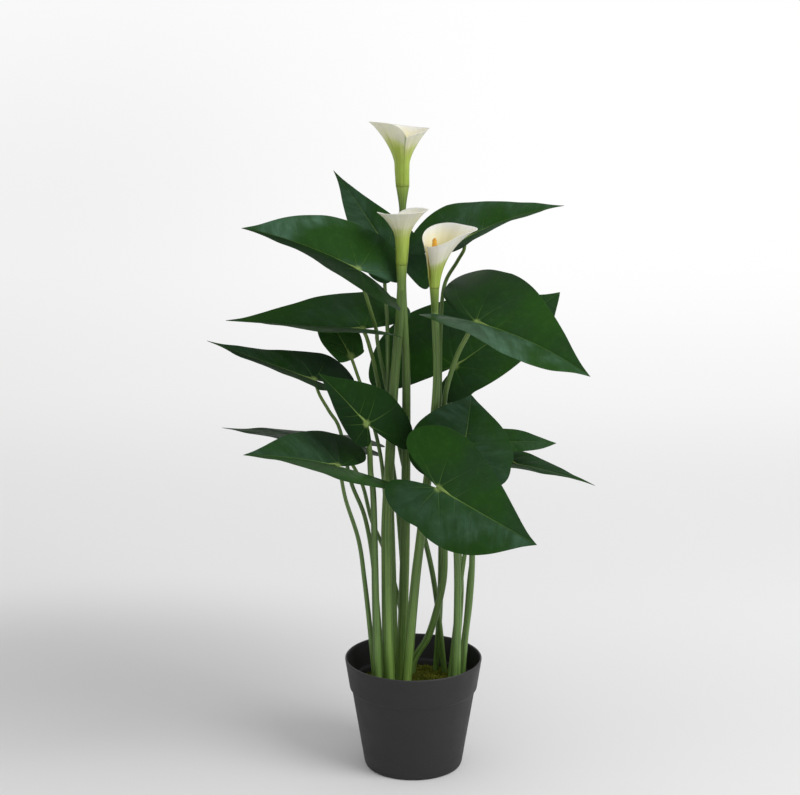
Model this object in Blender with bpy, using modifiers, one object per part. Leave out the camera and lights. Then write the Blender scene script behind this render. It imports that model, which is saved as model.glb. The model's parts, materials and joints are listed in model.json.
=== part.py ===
"""Potted calla lily: nursery pot, soil, moss, fifteen leaves on stalks and three flowers on scapes.

Metres, +Z up, origin at the centre of the pot's underside. The plant faces -Y.
"""
import math

import bmesh
import bpy
from mathutils import Vector

MM = 0.001

# Clearance between solids that touch.
GAP = 0.3 * MM

# Pot: a turned shell with a collar below its rim and a small ledge inside.
POT_HEIGHT = 123 * MM
RIM_RADIUS = 75 * MM
COLLAR_RADIUS = 70 * MM
BODY_RADIUS = 67.4 * MM
BASE_RADIUS = 53.4 * MM
COLLAR_BOTTOM = 89 * MM
POT_WALL = 2.2 * MM
POT_FLOOR = 4 * MM
LEDGE_HEIGHT = 95 * MM
POT_STEPS = 48

# Soil and moss fill the pot, and the stalks stand in sockets in both.
SOIL_TOP = 82 * MM
MOSS_TOP = 89 * MM
MOSS_DOME = 2 * MM
SOCKET_BOTTOM = 70 * MM
FILL_STEPS = 40

# Leaf blades. A fold eases off towards the margin, and a stalk that meets its blade at a slant stops
# short of it by the slant factor times its radius.
BLADE_THICKNESS = 1 * MM
BLADE_RINGS = (0.4, 0.75, 1)
FOLD_EASE = 0.2
SLANT = 1.1

# Half a leaf's outline, tip first, in leaf lengths along and across from the joint with the stalk.
HALF_OUTLINE = (
    (1.00, 0.00), (0.90, 0.04), (0.80, 0.095), (0.66, 0.18), (0.50, 0.27), (0.30, 0.365),
    (0.10, 0.43), (-0.10, 0.45), (-0.25, 0.42), (-0.37, 0.34), (-0.42, 0.25), (-0.39, 0.16),
    (-0.28, 0.09),
)

# Stalks.
STALK_SPACING = 24 * MM
STALK_SIDES_LEVEL = 2

# Flowers.
SPATHE_THICKNESS = 1.2 * MM
SPATHE_OVERLAP = math.radians(24)
SPATHE_LAP = 2.4 * MM
FIRST_NOTCH_CURVE = 1.5
LAST_NOTCH_CURVE = 3
BEAK_CURVE = 4
SPATHE_COLUMNS = 26
SPATHE_ROWS = 7
RECEPTACLE_MARGIN = 0.3 * MM
RECEPTACLE_LENGTH = 22 * MM

# Spadix: share of its length and radius, from its foot to its tip.
SPADIX_PROFILE = (
    (0, 3 * MM), (0.3, 3 * MM), (0.6, 2.9 * MM), (0.85, 2.5 * MM), (0.96, 1.8 * MM), (1, 0.7 * MM),
)

GREEN = (0.020, 0.075, 0.022)
DARK_GREEN = (0.012, 0.050, 0.020)
STALK_GREEN = (0.12, 0.20, 0.07)
SCAPE_GREEN = (0.14, 0.25, 0.07)
SPATHE_WHITE = (0.72, 0.72, 0.58)
SPADIX_YELLOW = (0.85, 0.42, 0.06)
POT_GREY = (0.040, 0.040, 0.042)
SOIL_BROWN = (0.030, 0.022, 0.015)
MOSS_GREEN = (0.07, 0.08, 0.01)

# Each leaf, in millimetres. joint: where the stalk meets the blade; tip: the blade's point; face: the
# way the upper side looks; width, rise, lobe and full: for the left and right half, seen from above with
# the tip ahead; rise: degrees that a half folds up; lobe: length of the lobe behind the joint; full:
# widening towards the tip; arch: bow of the midrib; drop: bend of the lobes; twist: degrees at the tip;
# stalk: its route from the foot up to the joint; thick: radius of the stalk at its foot and at the joint.
LEAVES = {
    "top_left": dict(
        joint=(-28, 45, 566), tip=(-86, 62, 649), face=(0.2, -0.9, 0.4),
        width=(0.75, 0.74), rise=(12, 12), lobe=(0.7, 1.35), full=(0, -0.55),
        arch=0.04, drop=0.3, twist=0,
        stalk=((-19, 0), (-21, 2, 187), (-24, 4, 299), (-27, 1, 411), (-28, 4, 486), (-31, 42, 528),
               (-31, 56, 547)),
        thick=(3.2, 1.8)),
    "upper_left": dict(
        joint=(-58, -28, 555), tip=(-177, -35, 599), face=(0.2, -0.5, 0.9),
        width=(0.95, 0.93), rise=(24, 25), lobe=(1, 0.95), full=(0, 0.4),
        arch=0.05, drop=0.5, twist=0,
        stalk=((37, 38), (26, 34, 176), (14, 28, 242), (-7, 22, 317), (-20, 19, 379), (-28, 14, 417),
               (-38, 6, 469), (-40, 5, 485), (-45, -8, 507), (-52, -22, 533)),
        thick=(3.3, 1.8)),
    "mid_left": dict(
        joint=(-54, 3, 487), tip=(-199, 5, 496), face=(0, -0.27, 0.96),
        width=(0.6, 0.95), rise=(22, 22), lobe=(0.7, 0.8), full=(0.3, -0.2),
        arch=0, drop=0.3, twist=0,
        stalk=((-15, 32), (-11, 30, 177), (-14, 27, 248), (-22, 24, 328), (-39, 15, 430), (-46, 9, 463)),
        thick=(3.3, 2)),
    "small_left": dict(
        joint=(-67, 12, 456), tip=(-103, 59, 503), face=(0.1, -0.8, 0.6),
        width=(0.39, 0.39), rise=(8, 8), lobe=(0.15, 0.15), full=(3, 3),
        arch=0.05, drop=0.3, twist=0,
        stalk=((-24, 24), (-27, 22, 180), (-29, 18, 262), (-35, 10, 343), (-49, 9, 403), (-59, 13, 432)),
        thick=(3.2, 1.6)),
    "low_left": dict(
        joint=(-106, -5, 434), tip=(-217, -15, 478), face=(0, -0.25, 1),
        width=(0.36, 0.8), rise=(8, 22), lobe=(0.4, 0.9), full=(0.3, -0.6),
        arch=0, drop=0.3, twist=0,
        stalk=((-32, 5), (-42, 7, 208), (-52, 8, 276), (-68, 9, 320), (-79, 8, 376), (-90, 5, 397),
               (-100, 0, 416)),
        thick=(3.2, 1.6)),
    "centre_front": dict(
        joint=(-50, -42, 395), tip=(-99, -56, 452), face=(0.15, -0.9, 0.4),
        width=(0.7, 1.2), rise=(10, 10), lobe=(0.6, 1.9), full=(0.2, 0),
        arch=0.05, drop=0.1, twist=0,
        stalk=((-38, -30), (-41, -26, 196), (-43, -20, 306), (-46, -19, 336), (-47, -26, 363)),
        thick=(4.8, 2.6)),
    "back_left": dict(
        joint=(-86, 62, 352), tip=(-212, 75, 363), face=(0, -0.03, 1),
        width=(0.6, 0.6), rise=(0, -1), lobe=(1, 1), full=(0, 0),
        arch=0, drop=0.3, twist=0,
        stalk=((-1, 48), (-10, 47, 136), (-19, 46, 184), (-32, 46, 230), (-46, 48, 264),
               (-56, 52, 303), (-70, 57, 330)),
        thick=(3, 1.8)),
    "bottom_left": dict(
        joint=(-79, -42, 349), tip=(-174, -100, 376), face=(0, -0.4, 0.9),
        width=(0.75, 0.95), rise=(12, 22), lobe=(1.35, 0.9), full=(0, 0),
        arch=0.03, drop=0, twist=0,
        stalk=((-40, -12), (-46, -13, 146), (-53, -16, 216), (-59, -21, 262), (-72, -34, 310)),
        thick=(3.2, 1.8)),
    "mid_right": dict(
        joint=(64, -35, 501), tip=(179, -80, 453), face=(0.3, -0.6, 0.8),
        width=(1.4, 0.8), rise=(15, 30), lobe=(1.1, 1), full=(-0.35, 1.6),
        arch=0.06, drop=0.3, twist=20,
        stalk=((-4, 34), (1, 33, 106), (16, 29, 134), (26, 25, 168), (33, 21, 204), (34, 16, 240),
               (32, 6, 299), (31, 2, 356), (33, 3, 412), (43, -12, 455), (54, -27, 483)),
        thick=(4.3, 2.4)),
    "top_right": dict(
        joint=(55, 18, 582), tip=(160, 45, 613), face=(-0.2, -0.4, 0.9),
        width=(1.16, 0.45), rise=(17, 30), lobe=(1.3, 0.6), full=(-0.45, 0),
        arch=0.05, drop=0.3, twist=0,
        stalk=((24, 44), (30, 42, 173), (30, 30, 292), (28, 14, 375), (28, 16, 424), (29, 36, 480),
               (38, 49, 527), (47, 38, 553), (53, 21, 569)),
        thick=(3.6, 1.8)),
    "centre_back": dict(
        joint=(45, 45, 438), tip=(160, 75, 515), face=(-0.2, -0.9, 0.5),
        width=(1.3, 0.58), rise=(5, 5), lobe=(1.4, 0.6), full=(0, 1.1),
        arch=0, drop=0.3, twist=0,
        stalk=((43, 26), (51, 25, 156), (52, 26, 213), (43, 32, 292), (36, 38, 369), (41, 43, 413)),
        thick=(3.6, 2)),
    "bottom_front": dict(
        joint=(25, -67, 332), tip=(127, -88, 277), face=(0.1, -1, 0.12),
        width=(1.15, 0.88), rise=(5, 5), lobe=(1.1, 1), full=(-0.15, 1.25),
        arch=0.03, drop=0.1, twist=0,
        stalk=((45, -28), (47, -27, 151), (47, -30, 220), (44, -40, 268), (35, -56, 305)),
        thick=(5.2, 2.6)),
    "bottom_back": dict(
        joint=(51, -34, 359), tip=(61, 0, 417), face=(0.32, -1, 0.46),
        width=(1.9, 1.85), rise=(8, 8), lobe=(1, 1), full=(0.6, 0.5),
        arch=0.05, drop=0.3, twist=0,
        stalk=((51, -4), (56, -4, 143), (61, -6, 190), (63, -12, 243), (59, -24, 307)),
        thick=(4.2, 2.4)),
    "small_right": dict(
        joint=(81, 25, 357), tip=(152, -5, 360), face=(0.1, -0.6, 0.8),
        width=(0.55, 0.55), rise=(10, 10), lobe=(0.6, 0.6), full=(0.5, 0.5),
        arch=0.07, drop=0.3, twist=0,
        stalk=((38, 4), (47, 8, 162), (55, 12, 229), (66, 20, 295)),
        thick=(3, 1.8)),
    "bottom_right": dict(
        joint=(98, 12, 340), tip=(194, -8, 319), face=(0, -0.2, 1),
        width=(0.6, 0.6), rise=(10, 10), lobe=(0.4, 0.4), full=(0, 0),
        arch=0.03, drop=0.3, twist=0,
        stalk=((51, 14), (58, 14, 160), (64, 14, 229), (79, 13, 291)),
        thick=(3, 1.8)),
}

# Each flower, in millimetres and degrees. scape: the route of its stem from the foot to the receptacle's
# top; base: the spathe's radius at its foot, widening by taper and leaning to +X by lean; flare: how far
# its bell stands out at the rim; bell: the share of its height where that starts, and how it curves; tall:
# the side where the spathe stands higher, and by how much; reach: the side where it flares further, and by
# what share; beak: the side of its drawn-out point, its length and its width; seam: the side where its
# edges overlap; notch: how far they dip there, and over how wide an arc on either side.
FLOWERS = {
    "top": dict(
        scape=((-14, 12), (-11, 10, 184), (-9, 9, 270), (-8, 9, 425), (-10, 9, 485), (-12, 14, 532),
               (-12, 18, 590), (-12, 18, 636)),
        thick=(6, 3.6), base=6.7, taper=0.03, lean=0, height=65, flare=21.8,
        bell=(0.36, 1.55), tall=(220, 4), reach=(0, 0.05), beak=(180, 2, 20),
        seam=-92, notch=(14, 90, 45), spadix=46),
    "left": dict(
        scape=((-25, -20), (-28, -20, 149), (-29, -19, 239), (-29, -16, 283), (-25, -11, 359),
               (-21, -7, 429), (-16, -1, 487), (-13, -12, 537), (-13, -14, 558)),
        thick=(6.4, 4.6), base=5.6, taper=0.055, lean=0, height=57, flare=18,
        bell=(0.48, 1.8), tall=(0, 1.3), reach=(180, 0.05), beak=(0, 0, 20),
        seam=100, notch=(9, 70, 70), spadix=42),
    "right": dict(
        scape=((-10, -14), (-4, -12, 146), (2, -10, 214), (7, -9, 258), (18, -10, 359), (24, -12, 435),
               (22, -16, 500), (21, -24, 535)),
        thick=(5.8, 3.7), base=4.7, taper=0.08, lean=0.06, height=56, flare=10.4,
        bell=(0.15, 1.7), tall=(61, 10), reach=(0, 0.37), beak=(5, 9, 20),
        seam=190, notch=(3, 60, 25), spadix=52),
}


def clearScene():
    for item in list(bpy.data.objects):
        bpy.data.objects.remove(item, do_unlink=True)


def newCollection(name):
    group = bpy.data.collections.new(name)
    bpy.context.scene.collection.children.link(group)
    return group


def material(name, colour, roughness, metallic=0.0):
    made = bpy.data.materials.new(name)
    made.use_nodes = True
    shader = made.node_tree.nodes["Principled BSDF"]
    shader.inputs["Base Color"].default_value = (*colour, 1)
    shader.inputs["Roughness"].default_value = roughness
    shader.inputs["Metallic"].default_value = metallic
    return made


def meshObject(name, bm, group, finish):
    mesh = bpy.data.meshes.new(name)
    bm.to_mesh(mesh)
    bm.free()
    made = bpy.data.objects.new(name, mesh)
    mesh.materials.append(finish)
    mesh.shade_smooth()
    group.objects.link(made)
    return made


def between(low, high, share):
    return low + (high - low) * share


def atPoint(values):
    return Vector(values) * MM


def smoothRoute(points, spacing):
    """Catmull-Rom curve through the points, read about every spacing along it."""
    route = []
    for index in range(len(points) - 1):
        before = points[max(index - 1, 0)]
        start, end = points[index], points[index + 1]
        after = points[min(index + 2, len(points) - 1)]
        pieces = max(1, round((end - start).length / spacing))
        for piece in range(pieces):
            s = piece / pieces
            route.append(0.5 * (2 * start + (end - before) * s
                                + (2 * before - 5 * start + 4 * end - after) * s ** 2
                                + (3 * start - before - 3 * end + after) * s ** 3))
    route.append(points[-1].copy())
    return route


def turned(name, profile, steps, group, finish):
    """Solid of revolution. The profile runs from the axis, down the outer side, back to the axis."""
    bm = bmesh.new()
    verts = [bm.verts.new((radius, 0, height)) for radius, height in profile]
    for first, second in zip(verts, verts[1:]):
        bm.edges.new((first, second))
    made = meshObject(name, bm, group, finish)
    screw = made.modifiers.new("turn", "SCREW")
    screw.steps = steps
    screw.render_steps = steps
    screw.use_merge_vertices = True
    screw.merge_threshold = 0.00005
    return made


def tube(name, route, radii, group, finish):
    """Round rod along the route with its own radius at each point, as a mesh with closed ends."""
    curve = bpy.data.curves.new(name, "CURVE")
    curve.dimensions = "3D"
    curve.bevel_depth = 1.0
    curve.bevel_resolution = STALK_SIDES_LEVEL
    curve.use_fill_caps = True
    curve.render_resolution_u = 0
    spline = curve.splines.new("POLY")
    spline.points.add(len(route) - 1)
    for point, place, radius in zip(spline.points, route, radii):
        point.co = (*place, 1)
        point.radius = radius
    source = bpy.data.objects.new(name + "_curve", curve)
    group.objects.link(source)
    bpy.context.view_layer.update()
    evaluated = source.evaluated_get(bpy.context.evaluated_depsgraph_get())
    mesh = bpy.data.meshes.new_from_object(evaluated)
    bm = bmesh.new()
    bm.from_mesh(mesh)
    bmesh.ops.remove_doubles(bm, verts=bm.verts, dist=0.00001)
    place = source.matrix_world.copy()
    bpy.data.objects.remove(source, do_unlink=True)
    made = meshObject(name, bm, group, finish)
    made.matrix_world = place
    return made


def potProfile():
    inner = -POT_WALL
    return [
        (0, POT_FLOOR),
        (BASE_RADIUS + inner, POT_FLOOR),
        (BODY_RADIUS + inner - 0.4 * MM, LEDGE_HEIGHT - 2 * MM),
        (COLLAR_RADIUS + inner + 1 * MM, LEDGE_HEIGHT),
        (RIM_RADIUS + inner, POT_HEIGHT - 0.8 * MM),
        (RIM_RADIUS + inner * 0.65, POT_HEIGHT),
        (RIM_RADIUS - 0.8 * MM, POT_HEIGHT),
        (RIM_RADIUS, POT_HEIGHT - 0.8 * MM),
        (COLLAR_RADIUS, COLLAR_BOTTOM + 1 * MM),
        (COLLAR_RADIUS - 0.8 * MM, COLLAR_BOTTOM),
        (BODY_RADIUS, COLLAR_BOTTOM - 2 * MM),
        (BASE_RADIUS + 0.6 * MM, 3.5 * MM),
        (BASE_RADIUS - 0.8 * MM, 0.8 * MM),
        (BASE_RADIUS - 2.8 * MM, 0),
        (0, 0),
    ]


def innerRadius(height):
    """Radius of the pot's inside wall below its ledge."""
    low = BASE_RADIUS - POT_WALL
    high = BODY_RADIUS - POT_WALL - 0.4 * MM
    return between(low, high, (height - POT_FLOOR) / (LEDGE_HEIGHT - 2 * MM - POT_FLOOR))


def buildPot(group):
    turned("pot", potProfile(), POT_STEPS, group, material("pot", POT_GREY, 0.55))


def buildFill(group, cutters):
    bottom = POT_FLOOR + GAP
    soilEdge = SOIL_TOP - GAP
    soil = turned("soil", [
        (0, soilEdge),
        (innerRadius(soilEdge) - 2 * GAP, soilEdge),
        (innerRadius(bottom) - 2 * GAP, bottom),
        (0, bottom),
    ], FILL_STEPS, group, material("soil", SOIL_BROWN, 0.95))
    moss = turned("moss", [
        (0, MOSS_TOP + MOSS_DOME),
        (innerRadius(MOSS_TOP) * 0.6, MOSS_TOP + MOSS_DOME * 0.6),
        (innerRadius(MOSS_TOP) - 2 * GAP, MOSS_TOP),
        (innerRadius(SOIL_TOP) - 2 * GAP, SOIL_TOP),
        (0, SOIL_TOP),
    ], FILL_STEPS, group, material("moss", MOSS_GREEN, 0.95))
    for filled in (soil, moss):
        cut = filled.modifiers.new("sockets", "BOOLEAN")
        cut.operation = "DIFFERENCE"
        cut.operand_type = "COLLECTION"
        cut.collection = cutters


def stalkRoute(points):
    foot = Vector((points[0][0] * MM, points[0][1] * MM, SOCKET_BOTTOM + GAP))
    return [foot] + [atPoint(point) for point in points[1:]]


def socketCutter(name, route, radii, cutters, finish):
    """The stalk's own lower end, a gap wider and a gap deeper, cut out of soil and moss."""
    above = [index for index, point in enumerate(route) if point.z > MOSS_TOP + 3 * MOSS_DOME]
    stop = above[0] + 1
    lower = [point.copy() for point in route[:stop]]
    lower[0].z -= GAP
    cutter = tube(name, lower, [radius + GAP for radius in radii[:stop]], cutters, finish)
    cutter.hide_render = True
    cutter.display_type = "WIRE"


def leafAxes(leaf):
    joint, tip = atPoint(leaf["joint"]), atPoint(leaf["tip"])
    along = (tip - joint).normalized()
    up = Vector(leaf["face"])
    up = (up - along * up.dot(along)).normalized()
    return joint, (tip - joint).length, along, up.cross(along), up


def bladePoint(leaf, axes, along, across):
    """World place of a point of the flat outline, after folding, arching and twisting the blade."""
    joint, length, forward, left, up = axes
    side = 0 if across >= 0 else 1
    across = across * leaf["width"][side]
    if along < 0:
        along = along * leaf["lobe"][side]
        bow = 4 * leaf["arch"] * along - leaf["drop"] * along ** 2
    else:
        across = across * (1 + leaf["full"][side] * along)
        bow = 4 * leaf["arch"] * along * (1 - along)
    fold = math.radians(leaf["rise"][side])
    out = across * math.cos(fold)
    lift = abs(across) * math.sin(fold) - FOLD_EASE * across ** 2
    turn = math.radians(leaf["twist"]) * along
    sideways = out * math.cos(turn) - lift * math.sin(turn)
    upwards = lift * math.cos(turn) + out * math.sin(turn)
    return joint + length * (forward * along + left * sideways + up * (bow + upwards))


def buildBlade(name, leaf, group, finish):
    """Rings of the outline shrunk towards the joint, open at the notch behind it, made thick."""
    axes = leafAxes(leaf)
    outline = [(along, across) for along, across in reversed(HALF_OUTLINE)]
    outline += [(along, -across) for along, across in HALF_OUTLINE[1:]]
    bm = bmesh.new()
    centre = bm.verts.new(axes[0])
    rows = []
    for ring in BLADE_RINGS:
        rows.append([bm.verts.new(bladePoint(leaf, axes, along * ring, across * ring))
                     for along, across in outline])
    for first, second in zip(rows[0], rows[0][1:]):
        bm.faces.new((centre, second, first))
    for inner, outer in zip(rows, rows[1:]):
        for index in range(len(outline) - 1):
            bm.faces.new((inner[index], inner[index + 1], outer[index + 1], outer[index]))
    blade = meshObject(name, bm, group, finish)
    solid = blade.modifiers.new("thickness", "SOLIDIFY")
    solid.thickness = BLADE_THICKNESS
    solid.offset = 0


def buildLeaf(name, leaf, group, cutters, blade, stalk):
    buildBlade("blade_" + name, leaf, group, blade)
    axes = leafAxes(leaf)
    joint, up = axes[0], axes[-1]
    points = stalkRoute(leaf["stalk"])
    heading = (joint - points[-1]).normalized()
    tilt = math.sqrt(max(0, 1 - heading.dot(up) ** 2))
    below = BLADE_THICKNESS / 2 + GAP + SLANT * leaf["thick"][1] * MM * tilt
    points.append(joint - up * below)
    route = smoothRoute(points, STALK_SPACING)
    radii = [between(leaf["thick"][0], leaf["thick"][1], index / (len(route) - 1)) * MM
             for index in range(len(route))]
    tube("petiole_" + name, route, radii, group, stalk)
    socketCutter("socket_" + name, route, radii, cutters, stalk)


def spatheHeight(flower, angle):
    """Height of the spathe's rim at an angle around it, counted from its first edge."""
    world = math.radians(flower["seam"]) + angle - SPATHE_OVERLAP / 2
    depth, firstWidth, lastWidth = flower["notch"]
    first = max(0, 1 - abs(angle - SPATHE_OVERLAP) / math.radians(firstWidth))
    last = max(0, 1 - (math.tau + SPATHE_OVERLAP - angle) / math.radians(lastWidth))
    dip = depth * (first ** FIRST_NOTCH_CURVE + last ** LAST_NOTCH_CURVE)
    tallSide, tallBy = flower["tall"]
    lift = tallBy * math.cos(world - math.radians(tallSide))
    return (flower["height"] + lift - dip) * MM


def spathePoint(flower, base, angle, share):
    """A place on the spathe's middle surface, from its foot (share 0) to its rim (share 1)."""
    world = math.radians(flower["seam"]) + angle - SPATHE_OVERLAP / 2
    height = spatheHeight(flower, angle) * share
    start, curve = flower["bell"]
    climb = max(0, height / (flower["height"] * MM) - start) / (1 - start)
    reachSide, reachBy = flower["reach"]
    reach = 1 + reachBy * math.cos(world - math.radians(reachSide))
    flare = flower["flare"] * MM * climb ** curve * reach
    beakSide, beakLength, beakWidth = flower["beak"]
    off = math.remainder(world - math.radians(beakSide), math.tau) / math.radians(beakWidth)
    beak = beakLength * MM * climb ** BEAK_CURVE * math.exp(-off ** 2)
    lap = SPATHE_LAP * (angle / math.tau - 0.5) * min(1, share * 4)
    radius = flower["base"] * MM + flower["taper"] * height + flare + beak + lap
    sideways = radius * math.cos(world) + flower["lean"] * height
    return base + Vector((sideways, radius * math.sin(world), height))


def buildSpathe(name, flower, base, group, finish):
    """One sheet rolled into a funnel, its outer edge lapped over its inner one, made thick."""
    full = math.tau + SPATHE_OVERLAP
    bm = bmesh.new()
    columns = []
    for column in range(SPATHE_COLUMNS + 1):
        angle = full * column / SPATHE_COLUMNS
        columns.append([bm.verts.new(spathePoint(flower, base, angle, row / SPATHE_ROWS))
                        for row in range(SPATHE_ROWS + 1)])
    for first, second in zip(columns, columns[1:]):
        for row in range(SPATHE_ROWS):
            bm.faces.new((first[row], second[row], second[row + 1], first[row + 1]))
    spathe = meshObject(name, bm, group, finish)
    solid = spathe.modifiers.new("thickness", "SOLIDIFY")
    solid.thickness = SPATHE_THICKNESS
    solid.offset = 0


def buildFlower(name, flower, group, cutters, scapeFinish, spatheFinish, spadixFinish):
    points = stalkRoute(flower["scape"])
    route = smoothRoute(points, STALK_SPACING)
    top = route[-1]
    neck = Vector((top.x, top.y, top.z - RECEPTACLE_LENGTH))
    route = [point for point in route if point.z < neck.z - 4 * MM] + [neck]
    radii = [between(flower["thick"][0], flower["thick"][1], index / (len(route) - 1)) * MM
             for index in range(len(route))]
    receptacle = flower["base"] * MM + RECEPTACLE_MARGIN
    for share in (0.5, 0.85, 1):
        route.append(neck.lerp(top, share))
        radii.append(between(flower["thick"][1] * MM, receptacle, share))
    tube("scape_" + name, route, radii, group, scapeFinish)
    socketCutter("socket_scape_" + name, route, radii, cutters, scapeFinish)
    base = top + Vector((0, 0, GAP))
    buildSpathe("spathe_" + name, flower, base, group, spatheFinish)
    length = flower["spadix"] * MM
    rod = [base + Vector((flower["lean"], 0, 1)) * length * share for share, radius in SPADIX_PROFILE]
    thick = [radius for share, radius in SPADIX_PROFILE]
    tube("spadix_" + name, rod, thick, group, spadixFinish)


def main():
    clearScene()
    group = newCollection("potted_calla_lily")
    cutters = newCollection("cutters")
    buildPot(group)
    blade = material("blade", GREEN, 0.35)
    shadedBlade = material("shaded_blade", DARK_GREEN, 0.4)
    stalk = material("petiole", STALK_GREEN, 0.5)
    for name, leaf in LEAVES.items():
        finish = shadedBlade if leaf["joint"][1] > 0 else blade
        buildLeaf(name, leaf, group, cutters, finish, stalk)
    scape = material("scape", SCAPE_GREEN, 0.45)
    spathe = material("spathe", SPATHE_WHITE, 0.4)
    spadix = material("spadix", SPADIX_YELLOW, 0.8)
    for name, flower in FLOWERS.items():
        buildFlower(name, flower, group, cutters, scape, spathe, spadix)
    buildFill(group, cutters)


main()
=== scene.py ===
import json
import math
import bmesh
import bpy
import numpy as np
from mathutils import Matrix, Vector, noise

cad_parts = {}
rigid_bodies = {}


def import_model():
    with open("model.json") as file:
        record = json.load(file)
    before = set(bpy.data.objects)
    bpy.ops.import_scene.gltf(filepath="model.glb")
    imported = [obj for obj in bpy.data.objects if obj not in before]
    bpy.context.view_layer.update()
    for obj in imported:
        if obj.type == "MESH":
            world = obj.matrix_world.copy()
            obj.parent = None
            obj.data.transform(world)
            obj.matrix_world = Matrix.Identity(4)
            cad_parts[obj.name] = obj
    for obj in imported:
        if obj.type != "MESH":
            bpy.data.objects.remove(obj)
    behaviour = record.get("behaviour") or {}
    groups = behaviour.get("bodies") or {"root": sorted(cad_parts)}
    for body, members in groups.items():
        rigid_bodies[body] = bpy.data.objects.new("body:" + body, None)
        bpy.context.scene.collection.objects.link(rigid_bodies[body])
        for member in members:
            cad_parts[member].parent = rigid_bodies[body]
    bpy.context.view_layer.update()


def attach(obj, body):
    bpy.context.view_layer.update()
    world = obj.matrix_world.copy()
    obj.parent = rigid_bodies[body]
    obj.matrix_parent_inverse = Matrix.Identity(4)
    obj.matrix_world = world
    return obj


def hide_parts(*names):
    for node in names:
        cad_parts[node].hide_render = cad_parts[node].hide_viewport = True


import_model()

mm = 0.001
print("frame loaded")


# the node tree that is being built: newMaterial and newTree set it, and the helpers add to it
graph = {}


def addNode(kind, inputs=None, **settings):
    # inputs: a socket is linked, anything else is set
    made = graph["tree"].nodes.new(kind)
    for key, value in settings.items():
        setattr(made, key, value)
    for key, value in (inputs or {}).items():
        if isinstance(value, bpy.types.NodeSocket):
            link(value, made.inputs[key])
        else:
            made.inputs[key].default_value = value
    return made


def node(kind, inputs=None, **settings):
    # a node whose first output is all that is used
    return addNode(kind, inputs, **settings).outputs[0]


def link(start, end):
    graph["tree"].links.new(start, end)


def calc(operation, first, second=0.0, clamp=False):
    return node("ShaderNodeMath", {0: first, 1: second}, operation=operation, use_clamp=clamp)


def times(first, second, clamp=False):
    return calc("MULTIPLY", first, second, clamp)


def plus(first, second, clamp=False):
    return calc("ADD", first, second, clamp)


def minus(first, second):
    return calc("SUBTRACT", first, second)


def vectorOf(x=0.0, y=0.0, z=0.0):
    return node("ShaderNodeCombineXYZ", {"X": x, "Y": y, "Z": z})


def axesOf(vector):
    return addNode("ShaderNodeSeparateXYZ", {0: vector}).outputs


def addVectors(first, second):
    return node("ShaderNodeVectorMath", {0: first, 1: second}, operation="ADD")


def scaleVector(vector, factor):
    return node("ShaderNodeVectorMath", {0: vector, 3: factor}, operation="SCALE")


def remap(value, low, high, toLow=0.0, toHigh=1.0, kind="SMOOTHSTEP"):
    inputs = {"Value": value, "From Min": low, "From Max": high, "To Min": toLow, "To Max": toHigh}
    return node("ShaderNodeMapRange", inputs, interpolation_type=kind)


def blend(share, first, second, mode="MIX"):
    first, second = ((*value, 1) if isinstance(value, tuple) else value for value in (first, second))
    made = addNode("ShaderNodeMix", {0: share, 6: first, 7: second}, data_type="RGBA", blend_type=mode)
    return made.outputs[2]


def layered(colour, *layers):
    # layers: (share, colour) from the lowest up
    for share, over in layers:
        colour = blend(share, colour, over)
    return colour


def tinted(colour, tint):
    return blend(1.0, colour, tint, "MULTIPLY")


def grey(level):
    return (level, level, level)


def ramp(value, stops):
    # stops: (position, colour), at least two
    made = addNode("ShaderNodeValToRGB", {"Fac": value})
    elements = made.color_ramp.elements
    for element, (position, colour) in zip(elements, (stops[0], stops[-1])):
        element.position = position
        element.color = (*colour, 1)
    for position, colour in stops[1:-1]:
        elements.new(position).color = (*colour, 1)
    return made.outputs["Color"]


def attribute(name, output="Fac"):
    return addNode("ShaderNodeAttribute", attribute_name=name).outputs[output]


def noiseOf(vector, scale, detail=3.0, roughness=0.55):
    inputs = {"Vector": vector, "Scale": scale, "Detail": detail, "Roughness": roughness}
    return addNode("ShaderNodeTexNoise", inputs).outputs["Fac"]


def objectPlace():
    return addNode("ShaderNodeTexCoord").outputs["Object"]


def newMaterial(name, roughness, specular):
    made = bpy.data.materials.new(name)
    made.use_nodes = True
    graph["tree"] = made.node_tree
    shader = made.node_tree.nodes["Principled BSDF"]
    shader.inputs["Roughness"].default_value = roughness
    shader.inputs["Specular IOR Level"].default_value = specular
    return made, shader


def setColour(shader, colour, rough=None):
    link(colour, shader.inputs["Base Color"])
    if rough is not None:
        link(rough, shader.inputs["Roughness"])


def bumpInto(shader, height, distance, strength=1.0):
    bump = addNode("ShaderNodeBump", {"Height": height, "Distance": distance, "Strength": strength})
    link(bump.outputs["Normal"], shader.inputs["Normal"])


def newTree(name, inputs):
    # inputs: name to (socket type, start value)
    graph["tree"] = tree = bpy.data.node_groups.new(name, "GeometryNodeTree")
    tree.interface.new_socket(name="Geometry", in_out="INPUT", socket_type="NodeSocketGeometry")
    for key, (kind, value) in inputs.items():
        socket = tree.interface.new_socket(name=key, in_out="INPUT", socket_type="NodeSocket" + kind)
        if value is not None:
            socket.default_value = value
    tree.interface.new_socket(name="Geometry", in_out="OUTPUT", socket_type="NodeSocketGeometry")
    return addNode("NodeGroupInput").outputs


def marked(geometry, name, value, kind="FLOAT"):
    inputs = {"Geometry": geometry, "Name": name, "Value": value}
    return node("GeometryNodeStoreNamedAttribute", inputs, data_type=kind, domain="POINT")


def randomSize(low, high, seed):
    inputs = {2: low, 3: high, "Seed": seed}
    return addNode("FunctionNodeRandomValue", inputs, data_type="FLOAT").outputs[1]


def joinParts(*parts):
    joined = addNode("GeometryNodeJoinGeometry")
    for part in parts:
        link(part, joined.inputs[0])
    return joined.outputs[0]


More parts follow.
